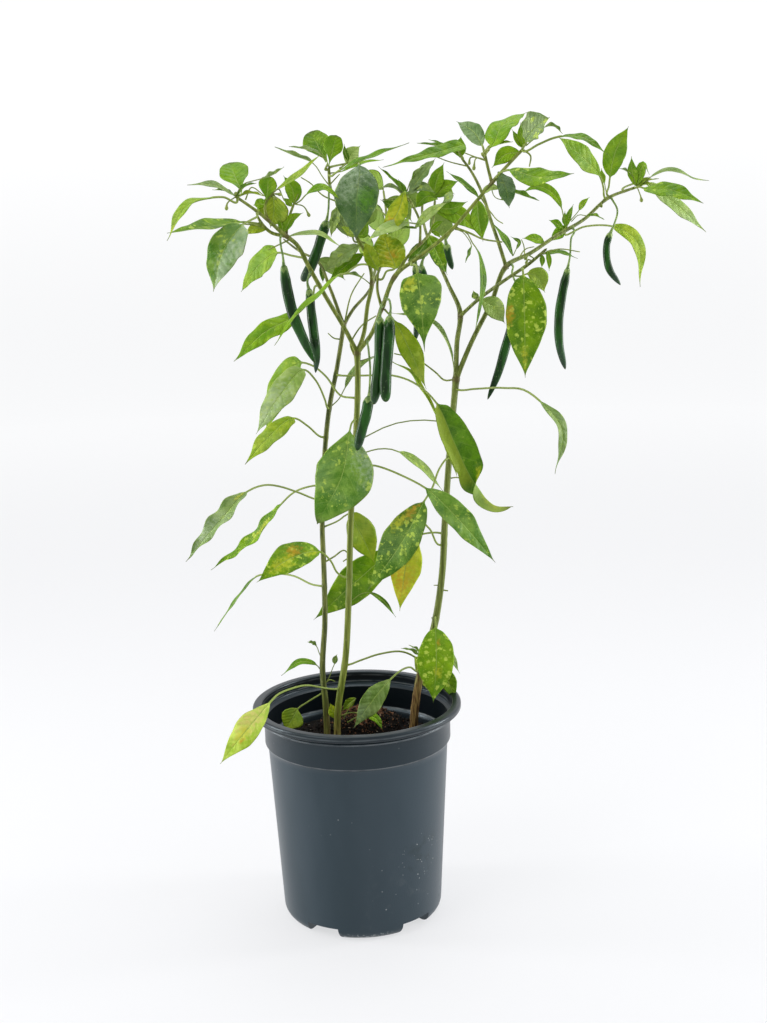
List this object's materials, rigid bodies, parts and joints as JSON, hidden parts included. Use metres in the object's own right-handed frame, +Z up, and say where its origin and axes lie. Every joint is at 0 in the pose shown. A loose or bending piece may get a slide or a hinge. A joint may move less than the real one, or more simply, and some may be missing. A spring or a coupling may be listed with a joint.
{
  "type": "potted chilli pepper plant",
  "caption": "Bushy chilli pepper plant with upright branching stems, mottled leaves and hanging slender green pods, growing in a round nursery pot of potting mix.",
  "frame": {"origin": "centre of the pot's foot, on the surface it stands on", "axes": "+Z up, the plant's front faces -Y, +X to its right as seen from the front"},
  "size_m": [0.5342, 0.3072, 0.7764],
  "materials": {
    "pot_plastic": "slate grey moulded plastic, satin, with fine scuffs and dust near the foot",
    "potting_mix": "loose dark compost with reddish coir chips, matt",
    "stem_dark": "smooth dark green stem, satin",
    "stem_green": "ridged olive green stem, satin, purple brown at the forks",
    "stem_woody": "olive stem with a ridged brown woody foot, matt",
    "pod_skin": "very dark green waxy pod skin, glossy, with a mid green calyx and stalk",
    "leaf_deep": "deep green leaf, satin, with a few pale flecks",
    "leaf_bright": "bright yellow green young leaf, satin",
    "leaf_grey": "green leaf with a greyish waxy sheen",
    "leaf_spotted": "deep green leaf mottled with yellow flecks, satin",
    "leaf_yellow": "ageing yellow leaf with orange patches and green veins"
  },
  "bodies": {
    "root": {"pot": "pot_plastic", "soil": "potting_mix", "stem_left": "stem_dark", "stem_middle": "stem_green", "stem_right": "stem_woody", "chilli_01": "pod_skin", "chilli_02": "pod_skin", "chilli_03": "pod_skin", "chilli_04": "pod_skin", "chilli_05": "pod_skin", "chilli_06": "pod_skin", "chilli_07": "pod_skin", "chilli_08": "pod_skin", "chilli_09": "pod_skin", "chilli_10": "pod_skin", "chilli_11": "pod_skin", "chilli_12": "pod_skin", "leaf_over_rim": "leaf_yellow", "leaf_in_pot": "leaf_grey", "leaf_low_right": "leaf_spotted", "leaf_low_back": "leaf_deep", "leaf_left_long": "leaf_deep", "leaf_left_wavy": "leaf_spotted", "leaf_left_spotted": "leaf_spotted", "leaf_left_edge": "leaf_grey", "leaf_left_high": "leaf_bright", "leaf_left_bright": "leaf_bright", "leaf_left_grey": "leaf_grey", "leaf_mid_left": "leaf_bright", "leaf_ribbon": "leaf_bright", "leaf_upper_left": "leaf_bright", "leaf_big_left": "leaf_spotted", "leaf_wing_left": "leaf_spotted", "leaf_far_left": "leaf_bright", "leaf_round_left": "leaf_bright", "leaf_fan_left": "leaf_bright", "leaf_arch_mid": "leaf_bright", "leaf_crown_big": "leaf_grey", "leaf_crown_yellow": "leaf_yellow", "leaf_heart_yellow": "leaf_yellow", "leaf_long_top": "leaf_bright", "leaf_top_grey": "leaf_grey", "leaf_top_bright": "leaf_bright", "leaf_top_right": "leaf_grey", "leaf_spotted_right": "leaf_spotted", "leaf_arch_right": "leaf_deep", "leaf_end_left": "leaf_spotted", "leaf_end_up": "leaf_bright", "leaf_end_dark": "leaf_spotted", "leaf_end_edge": "leaf_bright", "leaf_end_drop": "leaf_bright", "leaf_hang_right": "leaf_spotted", "leaf_heart": "leaf_spotted", "leaf_swing_right": "leaf_deep", "leaf_centre_big": "leaf_spotted", "leaf_centre_dark": "leaf_deep", "leaf_centre_spotted": "leaf_spotted", "leaf_centre_orange": "leaf_yellow", "leaf_centre_grey": "leaf_grey", "leaf_right_folded": "leaf_deep"}
  },
  "joints": []
}
